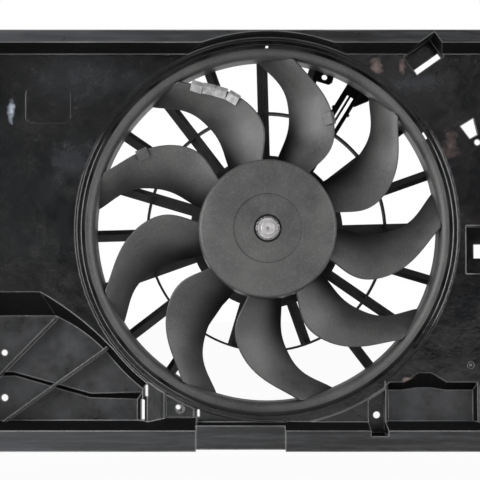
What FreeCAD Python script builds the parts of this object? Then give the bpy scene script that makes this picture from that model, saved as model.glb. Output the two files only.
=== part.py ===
"""Radiator cooling fan: a moulded shroud with a motor carrier, and a ringed nine-blade fan on its motor.

Millimetres. +X is to the right and +Z up, seen from the radiator side. +Y points away from the radiator.
The origin is on the fan axis, in the plane of the flange that meets the radiator.
Angles are counter-clockwise from +X, seen from the radiator side.
"""
import FreeCAD, Part
import math
import os

Vector = FreeCAD.Vector

# Shroud: flange, tray and wall sizes
FLANGE_LEFT = -330.0
FLANGE_RIGHT = 275.0
FLANGE_TOP = 199.5
FLANGE_BOTTOM = -223.5
FLANGE_THICK = 3.0
BAND_TOP = 13.0
BAND_BOTTOM = 21.0
BAND_SIDE = 16.0
TRAY_DEPTH = 35.0
TRAY_DRAFT = 6.0
TRAY_CORNER = 14.0
WALL = 2.5
EDGE_ROUND = 1.5

# Shroud: barrel, opening and arch. The opening follows the barrel. Windows: angle and width.
BARREL_R = 190.5
BARREL_END = 88.0
STEP_WIDTH = 5.2
STEP_DEPTH = 4.0
OPENING_R = BARREL_R + STEP_WIDTH
ARCH_RISE = 2.3
ARCH_R = OPENING_R + ARCH_RISE
WINDOWS = ((31.0, 8.0), (90.0, 3.0))
WINDOW_LENGTH = 30.0

# Shroud: recess at the lower left, with its lower strip and ribs
RECESS_DEPTH = 18.0
RECESS_RIM = 3.8
RECESS_SLOPE = 8.0
RECESS_RIM_R = OPENING_R + RECESS_RIM
RECESS_FLOOR_R = RECESS_RIM_R + RECESS_SLOPE
RECESS_TOP = -64.0
RECESS_FLOOR_TOP = -88.5
RECESS_CORNER_X = -232.0
RECESS_FLOOR_CORNER_X = -218.0
RECESS_BEND = 3.5
RECESS_ARC = (218.0, 232.0)
STRIP_STEP = 5.0
STRIP_LAP = 0.5
RIB_THICK = 2.2
RIB_FRONT = 40.0
RECESS_RIBS = ((-216.8, -90.7, -309.0, -183.9), (-163.4, -121.0, -271.1, -197.6))

# Strip of the recess: its upper edge at the recess floor and at its own floor. The last place of each
# is measured from the recess's right side.
STRIP_RIM = ((-261.7, -145.7), (-181.1, -167.9), (0.0, -166.2))
STRIP_FLOOR = ((-259.3, -150.7), (-183.1, -172.8), (-6.2, -174.5))

# Shroud: recess, channels and pocket on the right, notch at the upper right
HUMP_DEPTH = 13.0
HUMP_LEFT = 121.0
HUMP_RIGHT = 214.0
HUMP_TOP = -156.0
HUMP_RISE = 9.5
HUMP_XS = (138.6, 154.0, 167.0, 182.5)
HUMP_SLOPE = 8.4
LAND_WIDTH = 4.3
CHANNEL_LEFT = 103.0
CHANNEL_RIGHT = 120.0
CHANNEL_RIM = 7.3
CHANNEL_BOTTOM = -208.0
CHANNEL_DEPTH = 46.0
SIDE_CHANNEL_LEFT = 216.5
SIDE_CHANNEL_TOP = -160.0
LOW_STEP = 5.3
LOW_STEP_LEFT = 20.0
POCKET = (203.4, 243.0, -45.3, 3.6)
POCKET_DEPTH = 15.0
POCKET_SLOT = (213.0, 235.0, -29.3, -15.1)
NOTCH_X = 165.4
NOTCH_Z = 171.0
NOTCH_ANGLE = 35.2
NOTCH_HALF = 17.0
NOTCH_LOW = -3.4
NOTCH_HIGH = 20.0
NOTCH_DEPTH = 43.0
NOTCH_SLOT_LENGTH = 30.0
NOTCH_SLOT_WIDTH = 5.6
SIDE_WINDOW = ((198.2, 105.8), (211.2, 113.9), (215.2, 97.2), (207.6, 93.1))

# Shroud: small pads, lips, slots and holes
BOTTOM_LIP = (-72.0, 17.5)
BOTTOM_LIP_RISE = 5.0
BOTTOM_LIP_BACK = 0.8
BOTTOM_LIP_SHORT = 2.0
PAD_X = -225.0
PAD_Z = 127.0
PAD_WIDTH = 46.0
PAD_HEIGHT = 36.0
PAD_RAISE = 0.5
RAMP_XS = (-122.8, -108.8, -104.8)
RAMP_RAISE = 3.0
PLATE = (-103.7, -75.0, -191.5, -168.0)
PLATE_RAISE = 1.5
CRESCENT = (-88.7, -183.3)
CRESCENT_R = 4.2
CRESCENT_WIDTH = 1.2
WEDGE_XS = (-126.0, -105.0, -72.0)
WEDGE_TOP = -191.4
WEDGE_SINK = 0.8
PIN_PLACE = (207.4, -138.7)
PIN_R = 1.6
PIN_SOCKET_R = 3.0
PIN_DEPTH = 7.0
SLITS = ((-125.1, -122.0, -170.4, -159.0), (-129.2, -125.6, -195.0, -174.5),
         (-71.4, -69.2, -190.8, -183.7))
HOLES = ((-270.8, -126.5, 3.1), (-271.0, -173.1, 3.5), (-91.0, -181.3, 2.4), (112.0, -190.0, 3.5),
         (215.4, 89.3, 3.0))

# Shroud: fixing ears and their bushes
EAR_HEIGHTS = (140.0, -165.0)
EAR_REACH = 11.0
EAR_R = 13.0
EAR_THICK = 10.0
BUSH_OUTER_R = 5.5
BUSH_BORE_R = 3.3

# Motor carrier. The gusset, the slots' end and the tab are placed from the barrel's wall, the nub from
# the brace ring.
CARRIER_DEPTH = 20.0
STRUT_COUNT = 20
STRUT_FIRST = 1.5
STRUT_WIDTH = 11.4
STRUT_NOSE = 4.5
STRUT_WALL = 2.8
STRUT_LEAN = 2.1
SHORT_STRUTS = (14, 15, 16)
CABLE_STRUT = 3
CABLE_STRUT_ANGLE = 58.45
CABLE_STRUT_WIDTH = 18.0
CABLE_FLOOR = 4.0
CABLE_WALL = 1.6
CABLE_SLOTS = ((2.0, 2.0), (-3.0, 3.2))
CABLE_SLOT_END = -19.5
CABLE_NUB = (24.0, 27.0, 1.5)
CABLE_GUSSET = ((-27.0, -8.0), (-26.6, -10.2), (-13.6, -19.7), (0.7, -21.5), (0.7, -8.0))
CABLE_GUSSET_THICK = 8.0
TAB_STRUT = 4
TAB = ((-22.0, -4.0), (-22.0, -19.0), (-19.0, -22.0), (0.1, -22.0), (1.0, -4.0))
TAB_THICK = 4.0
TAB_HOLE = (-15.9, -12.5, 3.0)
BRACE_R = 126.9
BRACE_THICK = 1.8
MOTOR_RING_R = 80.6
MOTOR_RING_BORE = 49.0
MOTOR_RING_SKIRT = 3.0
MOTOR_RING_PLATE = 5.0

# Fan wheel
BLADE_COUNT = 9
HUB_FRONT = 8.0
HUB_R = 70.0
HUB_FLARE = 2.0
HUB_REAR = 68.0
HUB_FACE = 3.0
HUB_SKIRT = 2.6
HUB_EDGE_ROUND = 4.0
HUB_DOME_R = 160.0
HUB_STEP_R = 35.0
HUB_STEP = 0.8
HUB_RECESS_R = 14.0
HUB_RECESS = 4.0
HUB_BOSS_R = 16.0
HUB_BOSS_REAR = 24.0
HUB_RIB_HEIGHT = 8.0
HUB_RIB_THICK = 2.0
RING_CLEARANCE = 3.5
RING_LIP = 10.0
RING_LIP_R = BARREL_R - RING_CLEARANCE
RING_BORE_R = RING_LIP_R - RING_LIP
RING_FRONT = 40.0
RING_REAR = 78.0
RING_THICK = 2.5
BLADE_THICK = 2.8
BLADE_TAIL_THICK = 1.4
BLADE_CAMBER = 3.5
BLADE_NOSE = 0.9
BLADE_NOSE_FLAT = 1.0
BLADE_ROOT_SINK = 4.0
BLADE_TIP_SINK = 3.0

# Blade stations: share of the way from root to tip, leading and trailing edge angles, leading and
# trailing depths
BLADE_STATIONS = (
    (0.0, 14.5, 41.5, 33.0, 63.0),
    (0.1525, 12.4, 39.6, 35.0, 65.0),
    (0.322, 12.4, 37.9, 37.5, 67.5),
    (0.4915, 17.2, 39.4, 39.5, 69.5),
    (0.6695, 25.4, 42.8, 41.5, 71.5),
    (0.8305, 35.3, 48.8, 43.0, 73.5),
    (1.0, 42.6, 54.0, 44.0, 75.0),
)

# Balance clips: blade number, share of the way from root to tip of the first clip, clips in the row
CLIP_ROWS = (
    ("balance_clip_strip", 2, 0.64, 4),
    ("balance_clip_right", 1, 0.559, 1),
    ("balance_clip_left", 3, 0.72, 1),
)
CLIP_LENGTH = 12.4
CLIP_STEP = 12.7
CLIP_REACH = 6.5
CLIP_SHEET = 1.0
CLIP_AHEAD = 3.0

# Motor
SHAFT_R = 4.0
SHAFT_FLAT = 0.75
SHAFT_CLEARANCE = 0.03
SHAFT_REAR = 124.5
RUNNING_GAP = 0.4
CAN_R = 47.5
CAN_WALL = 2.0
CAN_ROUND = 4.0
CAN_FRONT = 27.0
CAN_REAR = 92.0
CAN_FLANGE_R = 56.0
CAN_FLANGE_THICK = 2.0
EAR_HALF = 7.0
MOTOR_SCREW_COUNT = 3
MOTOR_SCREW_FIRST = 90.0
MOTOR_SCREW_R = 2.5
MOTOR_SCREW_PITCH_R = 63.0
MOTOR_SCREW_HEAD_R = 5.5
MOTOR_SCREW_HEAD = 4.5
BUSH_R = 9.0
BUSH_LENGTH = 10.0
BEARING_WALL = 2.5
CLIP_HOLE_R = 6.0
CLIP_THICK = 0.8
COVER_REAR = 128.0
COVER_WALL = 2.5
COVER_BEVEL = 4.0
COVER_RIB = 2.5
COVER_BOSS_R = 12.0
COVER_RIB_ANGLES = (90.0, 135.0, 180.0, 225.0, 270.0, 315.0)
MAGNET_COUNT = 4
MAGNET_SPAN = 70.0
MAGNET_THICK = 7.5
MAGNET_FRONT = 46.0
MAGNET_LENGTH = 40.0
SPRING_SHEET = 0.8
AIR_GAP = 0.8
CORE_FRONT = 50.0
CORE_LENGTH = 32.0
CORE_SLOTS = 12
CORE_SLOT_WIDTH = 11.0
CORE_TOOTH_TIP = 3.0
CORE_SLOT_MOUTH = 2.5
CORE_HUB_R = 15.0
WINDING_GAP = 0.2
END_TURN = 8.0
COMMUTATOR_R = 13.0
COMMUTATOR_FRONT = 91.0
COMMUTATOR_LENGTH = 15.0
COMMUTATOR_BARS = 12
BAR_GAP = 0.8
BAR_GAP_DEPTH = 1.5
CARD_FRONT = 102.0
CARD_THICK = 3.0
BRUSH_ANGLES = (0.0, 90.0, 180.0, 270.0)
BRUSH_WIDTH = 8.0
BRUSH_HEIGHT = 7.0
BRUSH_LENGTH = 15.0
HOLDER_SHEET = 1.0
HOLDER_END_R = 40.0
SPRING_R = 3.0
SPRING_WIRE = 0.8
CHOKE_Z = 26.0
CHOKE_R = 4.5
CHOKE_LENGTH = 16.0
SOCKET_X = 23.0
SOCKET_Z = 20.0
SOCKET_WIDTH = 24.0
SOCKET_HEIGHT = 16.0
SOCKET_LENGTH = 14.0
SOCKET_WALL = 1.8
TERMINAL_PITCH = 11.0
TERMINAL_WIDTH = 6.3
TERMINAL_THICK = 0.8

# Fan fastening
INSERT_FLANGE_R = 12.0
INSERT_FLANGE = 2.0
INSERT_R = 8.0
WASHER_R = 10.4
WASHER_THICK = 1.5
SCREW_HEAD_R = 7.0
SCREW_HEAD = 4.5
SCREW_SHANK_R = 2.4
SCREW_SHANK = 16.0
SCREW_EDGE = 1.0
SCREW_DRIVE_R = 1.6

AXIS = Vector(0, 1, 0)
ORIGIN = Vector(0, 0, 0)
CARRIER_FRONT = BARREL_END
CARRIER_REAR = CARRIER_FRONT + CARRIER_DEPTH
PANEL_BACK = TRAY_DEPTH + WALL
THROUGH = 300.0


def disc(radius, y0, y1):
    """Solid cylinder about the fan axis between two depths."""
    return Part.makeCylinder(radius, y1 - y0, Vector(0, y0, 0), AXIS)


def ring(outer, inner, y0, y1):
    """Solid ring about the fan axis between two depths."""
    return disc(outer, y0, y1).cut(disc(inner, y0 - 1, y1 + 1))


def rod(x, z, radius, y0, y1):
    """Solid cylinder along Y at a place beside the fan axis."""
    return Part.makeCylinder(radius, y1 - y0, Vector(x, y0, z), AXIS)


def box(x0, x1, y0, y1, z0, z1):
    """Solid box between two corners."""
    return Part.makeBox(x1 - x0, y1 - y0, z1 - z0, Vector(x0, y0, z0))


def turned(shape, angle):
    """Copy of a shape turned about the fan axis, counter-clockwise from the radiator side."""
    copy = shape.copy()
    copy.rotate(ORIGIN, AXIS, -angle)
    return copy


def on_circle(radius, angle, y=0.0):
    """Point at a radius and angle about the fan axis."""
    return Vector(radius * math.cos(math.radians(angle)), y, radius * math.sin(math.radians(angle)))


def face_of(points, y=0.0):
    """Flat face in a plane of constant depth through (x, z) points."""
    corners = [Vector(x, y, z) for x, z in points]
    return Part.Face(Part.makePolygon(corners + corners[:1]))


def slab(points, y0, y1):
    """Prism of a straight-sided (x, z) outline between two depths."""
    return face_of(points, y0).extrude(Vector(0, y1 - y0, 0))


def revolved(edges):
    """Solid of revolution about the fan axis of a closed profile drawn in X (radius) and Y (depth)."""
    return Part.Face(Part.Wire(edges)).revolve(ORIGIN, AXIS, 360)


def profile(points):
    """Edges of a closed straight-sided (radius, depth) profile."""
    corners = [Vector(r, y, 0) for r, y in points]
    corners.append(corners[0])
    return [Part.makeLine(a, b) for a, b in zip(corners, corners[1:])]


def arc(start, middle, end):
    """Arc edge through three points."""
    return Part.Arc(start, middle, end).toShape()


def rounded_rectangle(left, right, bottom, top, radius, y):
    """Closed wire of a rectangle with round corners at one depth."""
    edges = []
    corners = ((right, top, 0), (left, top, 90), (left, bottom, 180), (right, bottom, 270))
    starts = []
    for x, z, first in corners:
        cx = x - radius if x == right else x + radius
        cz = z - radius if z == top else z + radius
        points = []
        for angle in (first, first + 45, first + 90):
            turn = math.radians(angle)
            points.append(Vector(cx + radius * math.cos(turn), y, cz + radius * math.sin(turn)))
        starts.append(points)
    for index, points in enumerate(starts):
        following = starts[(index + 1) % len(starts)]
        edges.append(arc(*points))
        edges.append(Part.makeLine(points[2], following[0]))
    return Part.Wire(edges)


def fused(shapes):
    """One shape from several that touch or overlap."""
    return shapes[0].multiFuse(list(shapes[1:])).removeSplitter()


def one_solid(shape):
    """The single solid of a result."""
    solids = shape.Solids
    if len(solids) != 1:
        raise ValueError("expected one solid, got %d" % len(solids))
    return solids[0]


def tray(grow, y0, y1):
    """Drafted tray volume between two depths, grown outward by a wall."""
    inner_left = FLANGE_LEFT + BAND_SIDE
    inner_right = FLANGE_RIGHT - BAND_SIDE
    inner_top = FLANGE_TOP - BAND_TOP
    inner_bottom = FLANGE_BOTTOM + BAND_BOTTOM
    wires = []
    for y in (y0, y1):
        narrow = TRAY_DRAFT * y / TRAY_DEPTH - grow
        wires.append(rounded_rectangle(inner_left + narrow, inner_right - narrow, inner_bottom + narrow,
                                       inner_top - narrow, TRAY_CORNER + grow, y))
    return Part.makeLoft(wires, True, True)


def tray_side(grow):
    """Left and lower limits of the tray at the panel, grown outward by a wall."""
    left = FLANGE_LEFT + BAND_SIDE + TRAY_DRAFT - grow
    bottom = FLANGE_BOTTOM + BAND_BOTTOM + TRAY_DRAFT - grow
    return left, bottom


def recess_wire(y, top, corner_x, rim, grow):
    """Outline of the lower left recess at one depth: level top, swept corner, arc round the opening."""
    left, bottom = tray_side(grow)
    rim -= grow
    corner = Vector(corner_x, y, top + grow)
    first = on_circle(rim, RECESS_ARC[0], y)
    last = on_circle(rim, RECESS_ARC[1], y)
    across = (first - corner).normalize()
    bend = (corner + first) * 0.5 + Vector(-across.z, 0, across.x) * RECESS_BEND
    start = Vector(left, y, top + grow)
    low_right = Vector(last.x, y, bottom)
    low_left = Vector(left, y, bottom)
    return Part.Wire([
        Part.makeLine(start, corner), arc(corner, bend, first),
        arc(first, on_circle(rim, sum(RECESS_ARC) / 2, y), last), Part.makeLine(last, low_right),
        Part.makeLine(low_right, low_left), Part.makeLine(low_left, start)])


def recess(grow):
    """Volume of the lower left recess, with its sloping sides."""
    rim = recess_wire(TRAY_DEPTH, RECESS_TOP, RECESS_CORNER_X, RECESS_RIM_R, grow)
    floor = recess_wire(TRAY_DEPTH + RECESS_DEPTH + grow, RECESS_FLOOR_TOP, RECESS_FLOOR_CORNER_X,
                        RECESS_FLOOR_R, grow)
    return Part.makeLoft([rim, floor], True, True)


def recess_strip(grow):
    """Volume of the lower strip of the recess, with sloping sides, one step deeper than its floor."""
    left, bottom = tray_side(grow)
    floor = TRAY_DEPTH + RECESS_DEPTH
    side = on_circle(RECESS_FLOOR_R, RECESS_ARC[1]).x + grow
    wires = []
    outlines = ((floor - STRIP_LAP, STRIP_RIM), (floor + STRIP_STEP + grow, STRIP_FLOOR))
    for y, (bend, dip, end) in outlines:
        right = side + end[0]
        points = [(left, bottom), (right, bottom), (right, end[1] + grow), (dip[0], dip[1] + grow),
                  (bend[0], bend[1] + grow), (left, bend[1] + grow)]
        corners = [Vector(x, y, z) for x, z in points]
        wires.append(Part.makePolygon(corners + corners[:1]))
    return Part.makeLoft(wires, True, True)


def hump_wire(y, slope, rise, grow):
    """Outline of the lower right recess at one depth, with the hump in its upper edge."""
    _, bottom = tray_side(grow)
    top = HUMP_TOP - slope + grow
    left = HUMP_LEFT + slope / 3 - grow
    right = HUMP_RIGHT - slope / 3 + grow
    heights = (top, top + rise, top + rise, top)
    points = [(left, top), *zip(HUMP_XS, heights), (right, top), (right, bottom), (left, bottom)]
    corners = [Vector(x, y, z) for x, z in points]
    return Part.makePolygon(corners + corners[:1])


def hump_recess(grow):
    """Volume of the lower right recess, which leaves a land round the opening."""
    rim = hump_wire(TRAY_DEPTH, 0.0, HUMP_RISE, grow)
    floor = hump_wire(TRAY_DEPTH + HUMP_DEPTH + grow, HUMP_SLOPE, HUMP_RISE / 4, grow)
    land = disc(OPENING_R + LAND_WIDTH - grow, 0, THROUGH)
    return Part.makeLoft([rim, floor], True, True).cut(land)


def channel(grow, y0):
    """Volume of the channel from the opening down through the lower wall and flange."""
    bar = box(CHANNEL_LEFT - grow, CHANNEL_RIGHT + grow, y0, CHANNEL_DEPTH + grow,
              CHANNEL_BOTTOM - grow, -BARREL_R / 2)
    return bar.cut(disc(OPENING_R + CHANNEL_RIM - grow, y0 - 1, THROUGH))


def side_channel(grow, y0):
    """Volume of the second channel, beside the lower right recess."""
    right = SIDE_CHANNEL_LEFT + CHANNEL_RIGHT - CHANNEL_LEFT
    return box(SIDE_CHANNEL_LEFT - grow, right + grow, y0, CHANNEL_DEPTH + grow,
               CHANNEL_BOTTOM - grow, SIDE_CHANNEL_TOP + grow)


def low_step(grow, y0, y1):
    """Wider part of the opening's step at the lower right, down to the tray's lower wall."""
    _, bottom = tray_side(grow)
    return disc(OPENING_R + LOW_STEP + grow, y0, y1).common(
        box(LOW_STEP_LEFT - grow, CHANNEL_RIGHT + grow, y0, y1, bottom, 0))


def pocket(grow):
    """Volume of the square pocket on the right."""
    left, right, low, high = POCKET
    return box(left - grow, right + grow, TRAY_DEPTH - 1, TRAY_DEPTH + POCKET_DEPTH + grow,
               low - grow, high + grow)


def in_notch(u0, u1, v0, v1, y0, y1):
    """Box square to the slanting notch, placed from the notch's own centre."""
    block = box(u0, u1, y0, y1, v0, v1)
    block = turned(block, NOTCH_ANGLE)
    block.translate(Vector(NOTCH_X, 0, NOTCH_Z))
    return block


def notch(grow, y0):
    """Volume of the slanting notch that cuts the top wall and flange."""
    block = in_notch(-NOTCH_HALF - grow, NOTCH_HALF + grow, NOTCH_LOW - grow, NOTCH_HIGH + grow,
                     y0, NOTCH_DEPTH + grow)
    return block.common(box(0, FLANGE_RIGHT, y0, THROUGH, 0, FLANGE_TOP))


def rib(x0, z0, x1, z1, y0, y1):
    """Thin upright rib between two places on the panel."""
    along = Vector(x1 - x0, 0, z1 - z0)
    side = Vector(-along.z, 0, along.x).normalize() * (RIB_THICK / 2)
    points = [(x0 + side.x, z0 + side.z), (x1 + side.x, z1 + side.z),
              (x1 - side.x, z1 - side.z), (x0 - side.x, z0 - side.z)]
    return slab(points, y0, y1)


def shroud_housing():
    """Flange, drafted tray, panel, stepped opening and barrel in one moulding."""
    flange = box(FLANGE_LEFT, FLANGE_RIGHT, 0, FLANGE_THICK, FLANGE_BOTTOM, FLANGE_TOP)
    arch_skin = disc(ARCH_R + WALL, 0, PANEL_BACK).common(
        box(-ARCH_R - WALL, ARCH_R + WALL, 0, PANEL_BACK, 0, FLANGE_TOP))
    step_skin = disc(OPENING_R + WALL, TRAY_DEPTH, TRAY_DEPTH + STEP_DEPTH + WALL)
    barrel_skin = disc(BARREL_R + WALL, TRAY_DEPTH, BARREL_END)
    step_back = TRAY_DEPTH + STEP_DEPTH
    pin_boss = rod(*PIN_PLACE, PIN_SOCKET_R + WALL, TRAY_DEPTH, TRAY_DEPTH + PIN_DEPTH + WALL)
    skins = [flange, tray(WALL, 0, PANEL_BACK), arch_skin, step_skin, barrel_skin, recess(WALL),
             recess_strip(WALL), hump_recess(WALL), channel(WALL, 0), side_channel(WALL, 0),
             low_step(WALL, TRAY_DEPTH, step_back + WALL), pocket(WALL), notch(WALL, 0), pin_boss]
    body = fused(skins + ears())
    arch_room = disc(ARCH_R, -1, TRAY_DEPTH).common(
        box(-ARCH_R, ARCH_R, -1, TRAY_DEPTH, 0, ARCH_R))
    rooms = [tray(0, -1, TRAY_DEPTH), arch_room, profile_of_opening(),
             disc(BARREL_R, 0, BARREL_END + 1), recess(0), recess_strip(0), hump_recess(0),
             channel(0, -1), side_channel(0, -1), low_step(0, TRAY_DEPTH - 1, step_back), pocket(0),
             notch(0, -1)]
    body = body.cut(fused(rooms))
    body = fused([body] + raised_details())
    return one_solid(body.cut(Part.makeCompound(windows() + slots_and_holes())))


def raised_details():
    """Ribs, pads, ramp and lip that stand on the panel and flange."""
    _, bottom = tray_side(0)
    floor = TRAY_DEPTH + RECESS_DEPTH
    details = [rib(*place, RIB_FRONT, floor + STRIP_STEP + 1) for place in RECESS_RIBS]
    pad = rounded_rectangle(PAD_X - PAD_WIDTH / 2, PAD_X + PAD_WIDTH / 2, PAD_Z - PAD_HEIGHT / 2,
                            PAD_Z + PAD_HEIGHT / 2, PAD_HEIGHT / 6, TRAY_DEPTH - PAD_RAISE)
    details.append(Part.Face(pad).extrude(AXIS * (PAD_RAISE + 1)))
    front = TRAY_DEPTH - RAMP_RAISE
    corners = [Vector(x, y, bottom - 1) for x, y in (
        (RAMP_XS[0], TRAY_DEPTH), (RAMP_XS[1], front), (RAMP_XS[2], front),
        (RAMP_XS[2], PANEL_BACK), (RAMP_XS[0], PANEL_BACK))]
    ramp = Part.Face(Part.makePolygon(corners + corners[:1])).extrude(Vector(0, 0, OPENING_R))
    left, right, low, high = PLATE
    plate = box(left, right, TRAY_DEPTH - PLATE_RAISE, TRAY_DEPTH + 1, low, high)
    opening = disc(OPENING_R + EDGE_ROUND, 0, THROUGH)
    details += [ramp.cut(opening), plate.cut(opening)]
    raised = TRAY_DEPTH - 2 * PLATE_RAISE
    crescent = rod(*CRESCENT, CRESCENT_R, raised, TRAY_DEPTH)
    details.append(crescent.cut(rod(*CRESCENT, CRESCENT_R - CRESCENT_WIDTH, raised - 1, TRAY_DEPTH)))
    lip_top = FLANGE_BOTTOM + BAND_BOTTOM + BOTTOM_LIP_RISE
    details.append(box(*BOTTOM_LIP, 0, FLANGE_THICK, lip_top - 2 * BOTTOM_LIP_RISE, lip_top))
    details.append(wedge())
    return details


def wedge():
    """Thickening of the tray's lower wall by the raised plate, which dies out to the left."""
    _, bottom = tray_side(0)
    low = FLANGE_BOTTOM + BAND_BOTTOM - WEDGE_SINK
    wires = []
    for x, top in zip(WEDGE_XS, (bottom - WEDGE_SINK, WEDGE_TOP, WEDGE_TOP)):
        rear = TRAY_DEPTH + 1
        corners = [Vector(x, y, z) for y, z in (
            (0, low - WEDGE_SINK), (0, low), (rear, top), (rear, bottom - 2 * WEDGE_SINK))]
        wires.append(Part.makePolygon(corners + corners[:1]))
    return Part.makeLoft(wires, True, True)


def slots_and_holes():
    """Through slots and holes of the panel and its recesses."""
    cuts = []
    for left, right, low, high in SLITS + (POCKET_SLOT,):
        cuts.append(box(left, right, TRAY_DEPTH - 2 * RAMP_RAISE, PANEL_BACK + RECESS_DEPTH + 2 * WALL,
                        low, high))
    for x, z, radius in HOLES:
        cuts.append(rod(x, z, radius, 0, PANEL_BACK + RECESS_DEPTH + STRIP_STEP + WALL))
    cuts.append(in_notch(-NOTCH_SLOT_LENGTH / 2, NOTCH_SLOT_LENGTH / 2, -NOTCH_SLOT_WIDTH / 2,
                         NOTCH_SLOT_WIDTH / 2, 0, NOTCH_DEPTH + 2 * WALL))
    cuts.append(slab(SIDE_WINDOW, 0, PANEL_BACK + 1))
    well = rod(*PIN_PLACE, PIN_SOCKET_R, 0, TRAY_DEPTH + PIN_DEPTH)
    cuts.append(well.cut(rod(*PIN_PLACE, PIN_R, 0, TRAY_DEPTH + PIN_DEPTH)))
    low = FLANGE_BOTTOM - 1
    lip_top = FLANGE_BOTTOM + BAND_BOTTOM + BOTTOM_LIP_RISE
    cuts.append(box(*BOTTOM_LIP, -1, BOTTOM_LIP_BACK, low, lip_top + 1))
    cuts.append(box(*BOTTOM_LIP, -1, FLANGE_THICK + 1, low, FLANGE_BOTTOM + BOTTOM_LIP_SHORT))
    return cuts


def profile_of_opening():
    """Room of the opening and its step, with a round rim where the panel turns in."""
    rim = OPENING_R + EDGE_ROUND
    start = Vector(0, TRAY_DEPTH - 1, 0)
    outer = Vector(rim, TRAY_DEPTH - 1, 0)
    turn_in = Vector(rim, TRAY_DEPTH, 0)
    half = EDGE_ROUND * (1 - math.sqrt(0.5))
    middle = Vector(OPENING_R + half, TRAY_DEPTH + half, 0)
    turn_out = Vector(OPENING_R, TRAY_DEPTH + EDGE_ROUND, 0)
    floor = Vector(OPENING_R, TRAY_DEPTH + STEP_DEPTH, 0)
    centre = Vector(0, TRAY_DEPTH + STEP_DEPTH, 0)
    return revolved([
        Part.makeLine(start, outer), Part.makeLine(outer, turn_in), arc(turn_in, middle, turn_out),
        Part.makeLine(turn_out, floor), Part.makeLine(floor, centre), Part.makeLine(centre, start)])


def ear_places():
    """Centres of the four fixing ears."""
    return [(x, z) for x in (FLANGE_LEFT - EAR_REACH, FLANGE_RIGHT + EAR_REACH) for z in EAR_HEIGHTS]


def ears():
    """Fixing ears on both side flanges, each bored for its steel bush."""
    shapes = []
    for x, z in ear_places():
        inner = FLANGE_LEFT + 1 if x < 0 else FLANGE_RIGHT - 1
        web = box(min(x, inner), max(x, inner), 0, EAR_THICK, z - EAR_R, z + EAR_R)
        ear = web.fuse(rod(x, z, EAR_R, 0, EAR_THICK))
        shapes.append(ear.cut(rod(x, z, BUSH_OUTER_R, -1, EAR_THICK + 1)))
    return shapes


def windows():
    """Slots in the barrel wall behind the fan ring."""
    start = (TRAY_DEPTH + BARREL_END) / 2 - WINDOW_LENGTH / 2
    return [turned(box(BARREL_R - WALL, BARREL_R + 2 * WALL, start, start + WINDOW_LENGTH,
                       -width / 2, width / 2), angle) for angle, width in WINDOWS]


def mount_bushes():
    """Steel compression bushes in the four ears."""
    bushes = []
    for x, z in ear_places():
        bush = rod(x, z, BUSH_OUTER_R, 0, EAR_THICK).cut(rod(x, z, BUSH_BORE_R, -1, EAR_THICK + 1))
        bushes.append(bush)
    return Part.makeCompound(bushes)


def strut_bar(inner, outer):
    """Strut along +X: a flat nose towards the fan, and a web that slants away behind it."""
    half = STRUT_WIDTH / 2
    nose = STRUT_NOSE - half
    points = [(-half, CARRIER_FRONT), (nose, CARRIER_FRONT), (half, CARRIER_REAR - STRUT_WALL),
              (half, CARRIER_REAR), (half - STRUT_LEAN, CARRIER_REAR),
              (nose - STRUT_LEAN, CARRIER_FRONT + STRUT_WALL), (-half, CARRIER_FRONT + STRUT_WALL)]
    corners = [Vector(inner, y, z) for z, y in points]
    return Part.Face(Part.makePolygon(corners + corners[:1])).extrude(Vector(outer - inner, 0, 0))


def cable_strut(inner, outer):
    """Wide strut along +X for the supply lead: slotted floor, edge walls, and a gusset at the rim."""
    half = CABLE_STRUT_WIDTH / 2
    floor = CARRIER_REAR - CABLE_FLOOR
    nub_start, nub_end, nub_out = CABLE_NUB
    gusset = [(BARREL_R + x, z) for x, z in CABLE_GUSSET]
    shapes = [
        box(inner, outer, floor, CARRIER_REAR, -half, half),
        box(inner, outer, CARRIER_FRONT, CARRIER_REAR, -half, CABLE_WALL - half),
        box(inner, outer, (CARRIER_FRONT + CARRIER_REAR) / 2, CARRIER_REAR, half - CABLE_WALL, half),
        box(BRACE_R + nub_start, BRACE_R + nub_end, floor, CARRIER_REAR,
            -half - nub_out, half + nub_out),
        slab(gusset, CARRIER_REAR - CABLE_GUSSET_THICK, CARRIER_REAR)]
    slots = [box(BRACE_R + CABLE_WALL, BARREL_R + CABLE_SLOT_END, floor - 1, CARRIER_REAR + 1,
                 offset - width / 2, offset + width / 2) for offset, width in CABLE_SLOTS]
    return fused(shapes).cut(Part.makeCompound(slots))


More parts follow.
